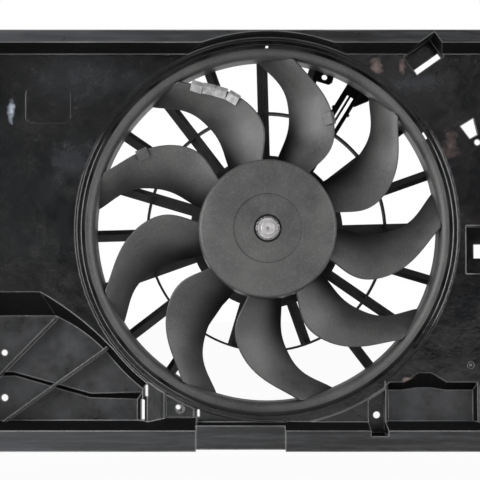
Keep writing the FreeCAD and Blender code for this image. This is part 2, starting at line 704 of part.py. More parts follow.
def motor_carrier():
    """Motor ring on radial struts, with a brace ring and an outer rim that carries on the barrel."""
    rim = ring(BARREL_R + WALL, BARREL_R, CARRIER_FRONT, CARRIER_REAR)
    brace = ring(BRACE_R, BRACE_R - BRACE_THICK, CARRIER_FRONT, CARRIER_REAR)
    motor_ring = ring(MOTOR_RING_R, MOTOR_RING_BORE, CARRIER_FRONT, CARRIER_REAR)
    pocket = ring(MOTOR_RING_R - MOTOR_RING_SKIRT, MOTOR_RING_BORE + MOTOR_RING_SKIRT,
                  CARRIER_FRONT + MOTOR_RING_PLATE, CARRIER_REAR + 1)
    motor_ring = motor_ring.cut(pocket)
    start = MOTOR_RING_R - MOTOR_RING_SKIRT / 2
    outer = BARREL_R + WALL / 2
    bars = []
    for number in range(STRUT_COUNT):
        if number == CABLE_STRUT:
            continue
        end = BRACE_R - BRACE_THICK / 2 if number in SHORT_STRUTS else outer
        bars.append(turned(strut_bar(start, end), STRUT_FIRST + number * 360.0 / STRUT_COUNT))
    bars.append(turned(cable_strut(start, outer), CABLE_STRUT_ANGLE))
    tab_x, tab_z, tab_hole = TAB_HOLE
    tab = slab([(BARREL_R + x, z) for x, z in TAB], CARRIER_FRONT, CARRIER_FRONT + TAB_THICK)
    tab = tab.cut(rod(BARREL_R + tab_x, tab_z, tab_hole, CARRIER_FRONT - 1, CARRIER_REAR))
    bars.append(turned(tab, STRUT_FIRST + TAB_STRUT * 360.0 / STRUT_COUNT))
    bosses = []
    holes = []
    for place in motor_screw_angles():
        centre = on_circle(MOTOR_SCREW_PITCH_R, place)
        bosses.append(rod(centre.x, centre.z, MOTOR_SCREW_HEAD_R + 1, CARRIER_FRONT, CARRIER_REAR))
        holes.append(rod(centre.x, centre.z, MOTOR_SCREW_R, CARRIER_FRONT - 1, CARRIER_REAR + 1))
    body = fused([rim, brace, motor_ring] + bars + bosses)
    return one_solid(body.cut(Part.makeCompound(holes)))


def motor_screw_angles():
    """Places of the screws that hold the motor."""
    step = 360.0 / MOTOR_SCREW_COUNT
    return [MOTOR_SCREW_FIRST + number * step for number in range(MOTOR_SCREW_COUNT)]


def blade_stations():
    """Blade stations with their real distances from the axis."""
    root = HUB_R - BLADE_ROOT_SINK
    tip = RING_LIP_R - BLADE_TIP_SINK
    return [(root + (tip - root) * row[0],) + row[1:] for row in BLADE_STATIONS]


def blade_section(station):
    """Closed blade section in the plane square to the blade's middle direction at one station."""
    distance, lead, trail, lead_depth, trail_depth = station
    middle = (lead + trail) / 2
    half = distance * math.tan(math.radians((trail - lead) / 2))
    outward = on_circle(1.0, middle)
    sideways = on_circle(1.0, middle + 90)
    rise = trail_depth - lead_depth
    front_side = []
    back_side = []
    for share in (0.0, 0.25, 0.5, 0.75, 1.0):
        u = half * (2 * share - 1)
        y = lead_depth + rise * share - BLADE_CAMBER * 4 * share * (1 - share)
        slope = Vector(2 * half, rise - BLADE_CAMBER * 4 * (1 - 2 * share), 0).normalize()
        thick = (BLADE_THICK + (BLADE_TAIL_THICK - BLADE_THICK) * share) / 2
        for points, sign in ((front_side, -1), (back_side, 1)):
            points.append(outward * distance + sideways * (u - sign * slope.y * thick)
                          + AXIS * (y + sign * slope.x * thick))
    upper = Part.BSplineCurve()
    upper.interpolate(front_side)
    lower = Part.BSplineCurve()
    lower.interpolate(list(reversed(back_side)))
    slope = Vector(2 * half, rise - BLADE_CAMBER * 4, 0).normalize()
    nose = (front_side[0] + back_side[0]) * 0.5 - (sideways * slope.x + AXIS * slope.y) * BLADE_NOSE
    flat = (front_side[0] - back_side[0]) * (BLADE_NOSE_FLAT / BLADE_THICK / 2)
    ends = [back_side[0], nose - flat, nose + flat, front_side[0]]
    return Part.Wire([upper.toShape(), Part.makeLine(front_side[-1], back_side[-1]), lower.toShape()]
                     + [Part.makeLine(a, b) for a, b in zip(ends, ends[1:])])


def fan_ring():
    """Ring round the blade tips, with a bell-mouth lip at the front."""
    inner = RING_LIP
    outer = inner - RING_THICK
    centre = Vector(RING_LIP_R, RING_FRONT + inner, 0)
    slant = Vector(-math.sqrt(0.5), -math.sqrt(0.5), 0)
    left = Vector(-1, 0, 0)
    front = Vector(0, -1, 0)
    depth = Vector(0, RING_REAR - centre.y, 0)
    return revolved([
        arc(centre + front * inner, centre + slant * inner, centre + left * inner),
        Part.makeLine(centre + left * inner, centre + left * inner + depth),
        Part.makeLine(centre + left * inner + depth, centre + left * outer + depth),
        Part.makeLine(centre + left * outer + depth, centre + left * outer),
        arc(centre + left * outer, centre + slant * outer, centre + front * outer),
        Part.makeLine(centre + front * outer, centre + front * inner)])


def blade():
    """One swept blade, from inside the hub's skirt to inside the ring's wall."""
    loft = Part.makeLoft([blade_section(station) for station in blade_stations()], True, False)
    return loft.common(disc(RING_BORE_R + RING_THICK / 2, 0, RING_REAR))


def hub():
    """Cup of the hub: domed face with a centre recess, round edge, skirt, boss and inner ribs."""
    floor = HUB_FRONT + HUB_STEP + HUB_FACE
    round_x = HUB_R - HUB_EDGE_ROUND
    slope = math.asin((round_x - HUB_STEP_R) / (HUB_DOME_R - HUB_EDGE_ROUND))
    dome = Vector(HUB_STEP_R, HUB_FRONT + HUB_DOME_R, 0)
    corner = on_profile(dome, HUB_DOME_R - HUB_EDGE_ROUND, slope)
    join = on_profile(dome, HUB_DOME_R, slope)
    fall = join.y - HUB_FRONT
    front = [
        (INSERT_R, HUB_FRONT + HUB_RECESS), (HUB_RECESS_R, HUB_FRONT + HUB_RECESS),
        (HUB_RECESS_R, HUB_FRONT + HUB_STEP), (HUB_STEP_R, HUB_FRONT + HUB_STEP),
        (HUB_STEP_R, HUB_FRONT)]
    rear_r = HUB_R + HUB_FLARE
    back = [
        (HUB_R, corner.y), (rear_r, HUB_REAR), (rear_r - HUB_SKIRT, HUB_REAR),
        (HUB_R - HUB_SKIRT, corner.y + HUB_FACE), (round_x - HUB_SKIRT, floor + fall),
        (HUB_STEP_R, floor), (HUB_BOSS_R, floor), (HUB_BOSS_R, HUB_BOSS_REAR),
        (INSERT_R, HUB_BOSS_REAR), (INSERT_R, HUB_FRONT + HUB_RECESS)]
    edges = []
    for points in (front, back):
        corners = [Vector(r, y, 0) for r, y in points]
        edges += [Part.makeLine(a, b) for a, b in zip(corners, corners[1:])]
    edges.append(arc(on_profile(dome, HUB_DOME_R, 0), on_profile(dome, HUB_DOME_R, slope / 2), join))
    edges.append(arc(join, on_profile(corner, HUB_EDGE_ROUND, (slope + math.pi / 2) / 2),
                     on_profile(corner, HUB_EDGE_ROUND, math.pi / 2)))
    cup = revolved(Part.__sortEdges__(edges))
    rib_end = HUB_R - HUB_SKIRT / 2
    outline = [(HUB_BOSS_R - 1, floor - 1), (HUB_STEP_R, floor - 1), (rib_end, floor - 1 + fall),
               (rib_end, floor + HUB_RIB_HEIGHT), (HUB_BOSS_R - 1, floor + HUB_RIB_HEIGHT)]
    web = Part.Face(Part.Wire(profile(outline))).extrude(Vector(0, 0, HUB_RIB_THICK))
    web.translate(Vector(0, 0, -HUB_RIB_THICK / 2))
    ribs = [turned(web, number * 360.0 / BLADE_COUNT) for number in range(BLADE_COUNT)]
    return fused([cup] + ribs)


def on_profile(centre, radius, turn):
    """Point of a circle in the profile plane, turned outward from its foremost point."""
    return centre + Vector(math.sin(turn), -math.cos(turn), 0) * radius


def fan_wheel(one_blade):
    """Hub, swept blades and ring in one moulding."""
    hub_core = disc(HUB_R - HUB_SKIRT / 2, 0, RING_REAR)
    trimmed = one_blade.cut(hub_core)
    blades = [turned(trimmed, number * 360.0 / BLADE_COUNT) for number in range(BLADE_COUNT)]
    return one_solid(hub().multiFuse(blades + [fan_ring()]))


def station_at(distance):
    """Blade station values at any distance from the axis."""
    stations = blade_stations()
    for low, high in zip(stations, stations[1:]):
        if low[0] <= distance <= high[0]:
            share = (distance - low[0]) / (high[0] - low[0])
            return [a + (b - a) * share for a, b in zip(low, high)]
    raise ValueError("outside the blade: %.1f" % distance)


def lead_point(distance):
    """Point of the leading edge, and the direction of the chord there."""
    _, lead, trail, lead_depth, trail_depth = station_at(distance)
    start = on_circle(distance, lead, lead_depth)
    end = on_circle(distance, trail, trail_depth)
    return start, (end - start).normalize()


def balance_clips(row, one_blade):
    """Spring clips pushed over the leading edge of one blade, side by side."""
    _, number, share, count = row
    stations = blade_stations()
    distance = stations[0][0] + (stations[-1][0] - stations[0][0]) * share
    clips = []
    for _ in range(count):
        point, chord = lead_point(distance)
        ahead = lead_point(distance + 1.0)[0] - lead_point(distance - 1.0)[0]
        distance += 2 * CLIP_STEP / ahead.Length
        along = ahead.normalize()
        normal = along.cross(chord).normalize()
        chord = normal.cross(along).normalize()
        half = BLADE_THICK / 2 + CLIP_SHEET + BLADE_CAMBER / 4
        corner = point - along * (CLIP_LENGTH / 2) - normal * half - chord * CLIP_AHEAD
        block = Part.makeBox(CLIP_LENGTH, CLIP_REACH + CLIP_AHEAD, 2 * half)
        frame = FreeCAD.Matrix(along.x, chord.x, normal.x, corner.x,
                               along.y, chord.y, normal.y, corner.y,
                               along.z, chord.z, normal.z, corner.z,
                               0, 0, 0, 1)
        block = block.transformGeometry(frame)
        clips.append(turned(block.cut(one_blade), number * 360.0 / BLADE_COUNT))
    return Part.makeCompound([solid for clip in clips for solid in clip.Solids])


def sector(outer, inner, y0, y1, middle, span):
    """Part of a ring between two angles."""
    reach = outer * 2
    points = [(0.0, 0.0)]
    for share in (-0.5, 0.0, 0.5):
        corner = on_circle(reach, middle + span * share)
        points.append((corner.x, corner.z))
    return ring(outer, inner, y0, y1).common(slab(points, y0, y1))


def hub_insert():
    """Steel sleeve in the hub, with a flange on the recess floor and a flat in its bore."""
    floor = HUB_FRONT + HUB_RECESS
    body = disc(INSERT_FLANGE_R, floor - INSERT_FLANGE, floor).fuse(disc(INSERT_R, floor, HUB_BOSS_REAR))
    bore = flatted_shaft(SHAFT_CLEARANCE, floor - INSERT_FLANGE - 1, HUB_BOSS_REAR + 1)
    return one_solid(body.cut(bore).removeSplitter())


def flatted_shaft(grow, y0, y1):
    """Round bar with the flat that drives the fan."""
    bar = disc(SHAFT_R + grow, y0, y1)
    flat = SHAFT_R * SHAFT_FLAT + grow
    return bar.common(box(-SHAFT_R * 2, SHAFT_R * 2, y0, y1, -SHAFT_R * 2, flat))


def fan_washer():
    """Washer under the head of the fan screw."""
    rear = HUB_FRONT + HUB_RECESS - INSERT_FLANGE
    return ring(WASHER_R, SCREW_SHANK_R + SHAFT_CLEARANCE, rear - WASHER_THICK, rear)


def fan_screw():
    """Screw that holds the fan on the shaft, with a round drive recess."""
    seat = HUB_FRONT + HUB_RECESS - INSERT_FLANGE - WASHER_THICK
    head = disc(SCREW_HEAD_R, seat - SCREW_HEAD, seat)
    head = head.makeFillet(SCREW_EDGE, [edge for edge in head.Edges
                                        if abs(edge.BoundBox.YMax - (seat - SCREW_HEAD)) < 0.01])
    head = head.cut(disc(SCREW_DRIVE_R, seat - SCREW_HEAD - 1, seat - SCREW_HEAD / 2))
    return one_solid(head.fuse(disc(SCREW_SHANK_R, seat, seat + SCREW_SHANK)).removeSplitter())


def motor_shaft():
    """Motor shaft, flatted at the fan end and tapped for the fan screw."""
    front = HUB_FRONT + HUB_RECESS - INSERT_FLANGE
    bar = disc(SHAFT_R, HUB_BOSS_REAR, SHAFT_REAR).fuse(flatted_shaft(0, front, HUB_BOSS_REAR))
    tapped = disc(SCREW_SHANK_R + SHAFT_CLEARANCE, front - 1, front + SCREW_SHANK)
    return one_solid(bar.cut(tapped).removeSplitter())


def retaining_ring():
    """Open spring ring on the shaft in front of the motor."""
    middle = (HUB_BOSS_REAR + CAN_FRONT) / 2
    body = ring(SHAFT_R * 1.7, SHAFT_R + SHAFT_CLEARANCE, middle - 0.5, middle + 0.5)
    return one_solid(body.cut(box(-SHAFT_R / 2, SHAFT_R / 2, 0, CAN_FRONT, 0, SHAFT_R * 2)))


def motor_can():
    """Deep-drawn steel can with a seat for the front bush and a flange with three ears."""
    inner = CAN_R - CAN_WALL
    back = CAN_FRONT + CAN_WALL
    seat_end = back + BUSH_LENGTH
    seat_r = BUSH_R + BEARING_WALL
    flange_front = CARRIER_FRONT - CAN_FLANGE_THICK
    outer_round = CAN_ROUND + CAN_WALL
    bend_out = Vector(CAN_R - outer_round, CAN_FRONT + outer_round, 0)
    bend_in = Vector(inner - CAN_ROUND, back + CAN_ROUND, 0)
    slant = Vector(math.sqrt(0.5), -math.sqrt(0.5), 0)
    right = Vector(1, 0, 0)
    front = Vector(0, -1, 0)
    hole = SHAFT_R + 1
    outside = [(hole, CAN_FRONT), (bend_out.x, CAN_FRONT)]
    down = [(CAN_R, bend_out.y), (CAN_R, flange_front), (CAN_FLANGE_R, flange_front),
            (CAN_FLANGE_R, CARRIER_FRONT), (CAN_R, CARRIER_FRONT), (CAN_R, CAN_REAR),
            (inner, CAN_REAR), (inner, bend_in.y)]
    inside = [(bend_in.x, back), (seat_r, back), (seat_r, seat_end), (BUSH_R, seat_end),
              (BUSH_R, back), (hole, back), (hole, CAN_FRONT)]
    edges = []
    for points in (outside, down, inside):
        corners = [Vector(r, y, 0) for r, y in points]
        edges += [Part.makeLine(a, b) for a, b in zip(corners, corners[1:])]
    edges.append(arc(bend_out + front * outer_round, bend_out + slant * outer_round,
                     bend_out + right * outer_round))
    edges.append(arc(bend_in + right * CAN_ROUND, bend_in + slant * CAN_ROUND,
                     bend_in + front * CAN_ROUND))
    can = revolved(Part.__sortEdges__(edges))
    shapes = [can]
    holes = []
    for angle in motor_screw_angles():
        centre = on_circle(MOTOR_SCREW_PITCH_R, angle)
        web = box(CAN_R + CAN_WALL, MOTOR_SCREW_PITCH_R, flange_front, CARRIER_FRONT,
                  -EAR_HALF, EAR_HALF)
        shapes.append(turned(web, angle))
        shapes.append(rod(centre.x, centre.z, EAR_HALF, flange_front, CARRIER_FRONT))
        holes.append(rod(centre.x, centre.z, MOTOR_SCREW_R + RUNNING_GAP, 0, THROUGH))
    return one_solid(fused(shapes).cut(Part.makeCompound(holes)))


def end_cover():
    """Moulded rear cover of the motor: spigot, card ledge, rear bush seat, ribs and connector socket."""
    spigot_r = CAN_R - CAN_WALL
    ledge_y = CARD_FRONT + CARD_THICK
    plate = COVER_REAR - COVER_WALL
    inner = spigot_r - COVER_WALL / 2
    seat_r = BUSH_R + BEARING_WALL
    shell = revolved(profile([
        (spigot_r, CARRIER_FRONT), (spigot_r, CAN_REAR), (CAN_R, CAN_REAR),
        (CAN_R, COVER_REAR - COVER_BEVEL), (CAN_R - COVER_BEVEL, COVER_REAR), (0, COVER_REAR),
        (0, plate), (BUSH_R, plate), (BUSH_R, plate - BUSH_LENGTH), (seat_r, plate - BUSH_LENGTH),
        (seat_r, plate),
        (inner - COVER_WALL, plate), (inner - COVER_WALL, ledge_y), (inner, ledge_y),
        (inner, CARRIER_FRONT)]))
    socket = box(SOCKET_X - SOCKET_WIDTH / 2, SOCKET_X + SOCKET_WIDTH / 2, COVER_REAR - 1,
                 COVER_REAR + SOCKET_LENGTH, SOCKET_Z - SOCKET_HEIGHT / 2, SOCKET_Z + SOCKET_HEIGHT / 2)
    room = box(SOCKET_X - SOCKET_WIDTH / 2 + SOCKET_WALL, SOCKET_X + SOCKET_WIDTH / 2 - SOCKET_WALL,
               COVER_REAR, COVER_REAR + SOCKET_LENGTH + 1,
               SOCKET_Z - SOCKET_HEIGHT / 2 + SOCKET_WALL, SOCKET_Z + SOCKET_HEIGHT / 2 - SOCKET_WALL)
    rib_bar = box(COVER_BOSS_R - 1, CAN_R - COVER_BEVEL, COVER_REAR - 1, COVER_REAR + COVER_RIB,
                  -RIB_THICK / 2, RIB_THICK / 2)
    ribs = [turned(rib_bar, angle) for angle in COVER_RIB_ANGLES]
    boss = disc(COVER_BOSS_R, COVER_REAR - 1, COVER_REAR + COVER_RIB)
    body = fused([shell, socket, boss] + ribs).cut(room)
    return one_solid(body.cut(Part.makeCompound(terminal_bars(0, COVER_REAR + SOCKET_LENGTH))))


def terminal_bars(front, rear):
    """Two flat terminal blades side by side in the socket."""
    bars = []
    for x in (SOCKET_X - TERMINAL_PITCH / 2, SOCKET_X + TERMINAL_PITCH / 2):
        bars.append(box(x - TERMINAL_THICK / 2, x + TERMINAL_THICK / 2, front, rear,
                        SOCKET_Z - TERMINAL_WIDTH / 2, SOCKET_Z + TERMINAL_WIDTH / 2))
    return bars


def socket_terminals():
    """Blade terminals from the brush card into the socket."""
    return Part.makeCompound(terminal_bars(CARD_FRONT + CARD_THICK, COVER_REAR + SOCKET_LENGTH - 4))


def motor_screws():
    """Flanged screws that hold the motor's ears on the carrier."""
    screws = []
    seat = CARRIER_FRONT - CAN_FLANGE_THICK
    for angle in motor_screw_angles():
        centre = on_circle(MOTOR_SCREW_PITCH_R, angle)
        flange = rod(centre.x, centre.z, MOTOR_SCREW_HEAD_R, seat - 1, seat)
        corners = [centre + on_circle(MOTOR_SCREW_HEAD_R - 0.8, turn) for turn in range(0, 360, 60)]
        head = slab([(c.x, c.z) for c in corners], seat - MOTOR_SCREW_HEAD, seat - 1)
        shank = rod(centre.x, centre.z, MOTOR_SCREW_R - SHAFT_CLEARANCE, seat, CARRIER_REAR - 2)
        screws.append(fused([flange, head, shank]))
    return Part.makeCompound(screws)


def bush(y0, y1):
    """Sintered bush with a running bore."""
    return ring(BUSH_R, SHAFT_R + SHAFT_CLEARANCE, y0, y1)


def bush_clips():
    """Spring clips that hold the bushes in their seats."""
    front = CAN_FRONT + CAN_WALL + BUSH_LENGTH
    rear = COVER_REAR - COVER_WALL - BUSH_LENGTH
    outer = BUSH_R + BEARING_WALL
    return Part.makeCompound([ring(outer, CLIP_HOLE_R, front, front + CLIP_THICK),
                              ring(outer, CLIP_HOLE_R, rear - CLIP_THICK, rear)])


def thrust_washers():
    """Washers on the shaft that take the end play at both bushes."""
    front = CAN_FRONT + CAN_WALL + BUSH_LENGTH + CLIP_THICK + RUNNING_GAP
    rear = COVER_REAR - COVER_WALL - BUSH_LENGTH - CLIP_THICK - RUNNING_GAP
    return Part.makeCompound([
        ring(CLIP_HOLE_R + 1, SHAFT_R + SHAFT_CLEARANCE, front, front + CLIP_THICK),
        ring(CLIP_HOLE_R + 1, SHAFT_R + SHAFT_CLEARANCE, rear - CLIP_THICK, rear)])


def magnet_angles():
    """Middle angles of the arc magnets."""
    return [45.0 + number * 360.0 / MAGNET_COUNT for number in range(MAGNET_COUNT)]


def magnets():
    """Arc magnets bonded inside the can."""
    outer = CAN_R - CAN_WALL
    rear = MAGNET_FRONT + MAGNET_LENGTH
    return Part.makeCompound([sector(outer, outer - MAGNET_THICK, MAGNET_FRONT, rear, angle, MAGNET_SPAN)
                              for angle in magnet_angles()])


def magnet_springs():
    """Bent sheet springs between the magnets."""
    outer = CAN_R - CAN_WALL - RUNNING_GAP / 2
    gap = 360.0 / MAGNET_COUNT - MAGNET_SPAN - math.degrees(RUNNING_GAP / outer)
    sheet_angle = math.degrees(SPRING_SHEET / (outer - MAGNET_THICK / 2))
    rear = MAGNET_FRONT + MAGNET_LENGTH
    springs = []
    for angle in magnet_angles():
        middle = angle + 180.0 / MAGNET_COUNT
        back = sector(outer, outer - SPRING_SHEET, MAGNET_FRONT, rear, middle, gap)
        legs = [sector(outer, outer - MAGNET_THICK * 0.8, MAGNET_FRONT, rear,
                       middle + side * (gap - sheet_angle) / 2, sheet_angle) for side in (-1, 1)]
        springs.append(fused([back] + legs))
    return Part.makeCompound(springs)


def slot_shape(y0, y1, shrink):
    """One armature slot along +X: a wedge between the teeth, closed under the tooth tips."""
    core_r = core_radius()
    low = CORE_HUB_R + shrink
    high = core_r - CORE_TOOTH_TIP - shrink
    narrow = CORE_SLOT_WIDTH * low / high / 2
    wide = CORE_SLOT_WIDTH / 2 - shrink
    return slab([(low, -narrow), (high, -wide), (high, wide), (low, narrow)], y0, y1)


def core_radius():
    """Outer radius of the armature core inside the magnets."""
    return CAN_R - CAN_WALL - MAGNET_THICK - AIR_GAP


def slot_angles():
    """Angles of the armature slots."""
    return [number * 360.0 / CORE_SLOTS for number in range(CORE_SLOTS)]


def armature_core():
    """Laminated core with its winding slots."""
    core_r = core_radius()
    rear = CORE_FRONT + CORE_LENGTH
    body = ring(core_r, SHAFT_R + SHAFT_CLEARANCE, CORE_FRONT, rear)
    mouth = box(core_r - CORE_TOOTH_TIP - 1, core_r + 1, CORE_FRONT - 1, rear + 1,
                -CORE_SLOT_MOUTH / 2, CORE_SLOT_MOUTH / 2)
    slot = fused([slot_shape(CORE_FRONT - 1, rear + 1, 0), mouth])
    return one_solid(body.cut(Part.makeCompound([turned(slot, angle) for angle in slot_angles()])))


def armature_windings():
    """Coils: a bar of wire in each slot, joined by the end turns at both ends."""
    rear = CORE_FRONT + CORE_LENGTH
    low = CORE_HUB_R + WINDING_GAP
    high = core_radius() - CORE_TOOTH_TIP - WINDING_GAP
    bevel = END_TURN / 3
    turns = []
    for face, side in ((CORE_FRONT, -1), (rear, 1)):
        end = face + side * END_TURN
        shoulder = end - side * bevel
        turns.append(revolved(profile([(low, face), (low, shoulder), (low + bevel, end),
                                       (high - bevel, end), (high, shoulder), (high, face)])))
    bars = [turned(slot_shape(CORE_FRONT, rear, WINDING_GAP), angle) for angle in slot_angles()]
    return one_solid(fused(turns + bars))


def commutator():
    """Copper commutator with the gaps between its bars."""
    rear = COMMUTATOR_FRONT + COMMUTATOR_LENGTH
    body = ring(COMMUTATOR_R, SHAFT_R + SHAFT_CLEARANCE, COMMUTATOR_FRONT, rear)
    gap = box(COMMUTATOR_R - BAR_GAP_DEPTH, COMMUTATOR_R + 1, COMMUTATOR_FRONT - 1, rear + 1,
              -BAR_GAP / 2, BAR_GAP / 2)
    gaps = [turned(gap, number * 360.0 / COMMUTATOR_BARS) for number in range(COMMUTATOR_BARS)]
    return one_solid(body.cut(Part.makeCompound(gaps)))


def brush_card():
    """Round plate that carries the brush holders."""
    outer = CAN_R - CAN_WALL - COVER_WALL / 2
    return ring(outer, COMMUTATOR_R + 2 * RUNNING_GAP, CARD_FRONT, CARD_FRONT + CARD_THICK)


def brush_set(inner, outer, grow, y_grow):
    """Bars along the four brush directions, in front of the card."""
    front = CARD_FRONT - HOLDER_SHEET - BRUSH_HEIGHT
    bar = box(inner, outer, front - y_grow, front + BRUSH_HEIGHT + y_grow,
              -BRUSH_WIDTH / 2 - grow, BRUSH_WIDTH / 2 + grow)
    return [turned(bar, angle) for angle in BRUSH_ANGLES]


def brush_holders():
    """Sheet metal boxes that guide the brushes."""
    outer = brush_set(COMMUTATOR_R + 3 * RUNNING_GAP, HOLDER_END_R, HOLDER_SHEET, HOLDER_SHEET)
    inner = brush_set(COMMUTATOR_R, HOLDER_END_R - HOLDER_SHEET, 0.0, 0.0)
    return Part.makeCompound([shell.cut(room) for shell, room in zip(outer, inner)])


def brushes():
    """Carbon brushes, hollowed to the commutator."""
    bars = brush_set(COMMUTATOR_R - 1, COMMUTATOR_R + BRUSH_LENGTH, 0.0, 0.0)
    face = disc(COMMUTATOR_R + RUNNING_GAP, 0, THROUGH)
    return Part.makeCompound([bar.cut(face) for bar in bars])


def brush_springs():
    """Springs behind the brushes, as plain sleeves of the coil's size."""
    start = COMMUTATOR_R + BRUSH_LENGTH
    length = HOLDER_END_R - HOLDER_SHEET - start
    middle = CARD_FRONT - HOLDER_SHEET - BRUSH_HEIGHT / 2
    place = Vector(start, middle, 0)
    tube = Part.makeCylinder(SPRING_R, length, place, Vector(1, 0, 0))
    sleeve = tube.cut(Part.makeCylinder(SPRING_R - SPRING_WIRE, length, place, Vector(1, 0, 0)))
    return Part.makeCompound([turned(sleeve, angle) for angle in BRUSH_ANGLES])


def choke_coils():
    """Wound rod chokes on the back of the brush card."""
    coils = []
    back = CARD_FRONT + CARD_THICK
    for z in (-CHOKE_Z, CHOKE_Z):
        start = Vector(-CHOKE_LENGTH / 2, back + CHOKE_R, z)
        coil = Part.makeCylinder(CHOKE_R, CHOKE_LENGTH, start, Vector(1, 0, 0))
        rod_start = start - Vector(CHOKE_R / 2, 0, 0)
        core = Part.makeCylinder(CHOKE_R / 2, CHOKE_LENGTH + CHOKE_R, rod_start, Vector(1, 0, 0))
        coils.append(coil.fuse(core).removeSplitter())
    return Part.makeCompound(coils)


def build():
    """All nodes of the part by name."""
    one_blade = blade()
    front_bush = CAN_FRONT + CAN_WALL
    rear_bush = COVER_REAR - COVER_WALL
    nodes = {
        "shroud_housing": shroud_housing(),
        "motor_carrier": motor_carrier(),
        "mount_bushes": mount_bushes(),
        "motor_can": motor_can(),
        "magnets": magnets(),
        "magnet_springs": magnet_springs(),
        "end_cover": end_cover(),
        "socket_terminals": socket_terminals(),
        "brush_card": brush_card(),
        "brush_holders": brush_holders(),
        "brushes": brushes(),
        "brush_springs": brush_springs(),
        "choke_coils": choke_coils(),
        "front_bush": bush(front_bush, front_bush + BUSH_LENGTH),
        "rear_bush": bush(rear_bush - BUSH_LENGTH, rear_bush),
        "bush_clips": bush_clips(),
        "motor_screws": motor_screws(),
        "fan_wheel": fan_wheel(one_blade),
        "hub_insert": hub_insert(),
        "fan_washer": fan_washer(),
        "fan_screw": fan_screw(),
        "motor_shaft": motor_shaft(),
        "retaining_ring": retaining_ring(),
        "thrust_washers": thrust_washers(),
        "armature_core": armature_core(),
        "armature_windings": armature_windings(),
        "commutator": commutator(),
    }
    for row in CLIP_ROWS:
        nodes[row[0]] = balance_clips(row, one_blade)
    return nodes


os.makedirs("parts", exist_ok=True)
for name, shape in build().items():
    shape.exportStep("parts/%s.step" % name)
    print(name, len(shape.Solids), "solids", round(shape.Volume / 1000, 2), "cm3", shape.isValid())
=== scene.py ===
"""Looks of the radiator cooling fan: camera, plain studio light and procedural materials."""

import math

import bpy
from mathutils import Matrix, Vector


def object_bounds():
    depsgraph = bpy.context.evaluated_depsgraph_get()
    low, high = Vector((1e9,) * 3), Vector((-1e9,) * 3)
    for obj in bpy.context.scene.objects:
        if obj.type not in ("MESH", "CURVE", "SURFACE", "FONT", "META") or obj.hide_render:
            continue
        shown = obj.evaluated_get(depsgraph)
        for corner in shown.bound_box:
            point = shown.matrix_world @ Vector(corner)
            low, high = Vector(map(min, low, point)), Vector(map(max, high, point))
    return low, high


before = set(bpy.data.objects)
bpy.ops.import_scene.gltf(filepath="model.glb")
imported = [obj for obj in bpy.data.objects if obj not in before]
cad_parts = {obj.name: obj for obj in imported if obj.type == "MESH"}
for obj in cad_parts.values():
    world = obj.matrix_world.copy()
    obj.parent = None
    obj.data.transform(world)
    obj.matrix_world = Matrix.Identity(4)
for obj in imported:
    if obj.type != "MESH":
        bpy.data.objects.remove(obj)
CAD_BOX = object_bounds()

# Lengths are in metres, and greys are display greys from 0 to 255. A place is (x, z, half_x, half_z),
# measured from the fan's axis. A span is two coordinates, where an effect is 0 and where it is 1.

# Camera: far in front of the radiator side, low and left of the fan's axis
CAMERA_DISTANCE = 1.6
CAMERA_X = -0.028
CAMERA_Z = -0.0774
CAMERA_REACH = 100.0
VANISHING_PIXELS = 65.0
IMAGE_PIXELS = 480.0
METRES_PER_PIXEL = 0.001
SENSOR_MM = 36.0

# Studio
FLOOR_GAP = 0.03
FLOOR_WHITE = 0.96
ROOM_SIZE = 30.0
WORLD_LIGHT = 0.13
GLOSS_SHARE = 0.35
CARD_Y = -2.4
CARD_HALF = 0.95
CARD_LOW = -0.65
CARD_HIGH = 0.75
CARD_GREY = 100

# Lamps: name, place, aim, size and power. The smudges are small lamps that show in the gloss.
MIDDLE = (0.0, 0.0, 0.0)
LAMPS = (
    ("lamp_left", (-1.25, -0.85, 0.1), MIDDLE, (0.8, 1.6), 30.0),
    ("lamp_right", (1.25, -0.85, 0.1), MIDDLE, (0.8, 1.6), 18.0),
    ("lamp_low", (0.0, -0.9, -0.95), MIDDLE, (1.6, 0.4), 3.0),
    ("lamp_top", (0.1, -1.1, 1.3), MIDDLE, (1.2, 0.2), 0.8),
    ("smudge_left", (-0.37, -1.75, 0.41), (-0.19, 0.0, 0.16), (0.03, 0.12), 0.1),
    ("smudge_right", (0.28, -1.75, 0.42), (0.12, 0.0, 0.16), (0.07, 0.1), 0.15),
    ("smudge_side", (-0.54, -1.75, 0.0), (-0.25, 0.0, -0.02), (0.12, 0.4), 0.1),
)

# Shared by the materials
EVEN = (1.0, 1.0, 1.0)
PLAIN = (1.0, 1.0, 1.0)
COOL = (0.9, 1.0, 1.15)
WARM = (1.3, 0.95, 0.9)
SOFT_COOL = (0.95, 1.0, 1.1)
BEVEL_SAMPLES = 6
OCCLUSION_SAMPLES = 8
EDGE_START, EDGE_END = 0.86, 0.995
WALL_START, WALL_END = 0.9, 0.98
RAGGED_DEPTH = 3.0
MIX_COLOURS = (6, 7)
MIX_RESULT = 2

# Fan wheel
# Painted shade: reach of the occlusion that darkens the fan's colour in corners and near the hub
SHADE_REACH = 0.07
# Painted shade at the blades' roots: span along Y and place round the axis
ROOT_SPAN = (0.045, 0.062)
BLADE_ROOTS = (0.0, 0.0, 0.145, 0.145)
# Painted shade in the hub's recess round the screw
HUB_RECESS = (0.0, 0.0, 0.0145, 0.0145)

# Motor carrier
# Painted sheen of front light on the struts' front faces: span along Y
NOSE_SHEEN_SPAN = (0.0915, 0.0885)
CABLE_STRUT = (0.07, 0.125, 0.045, 0.08)

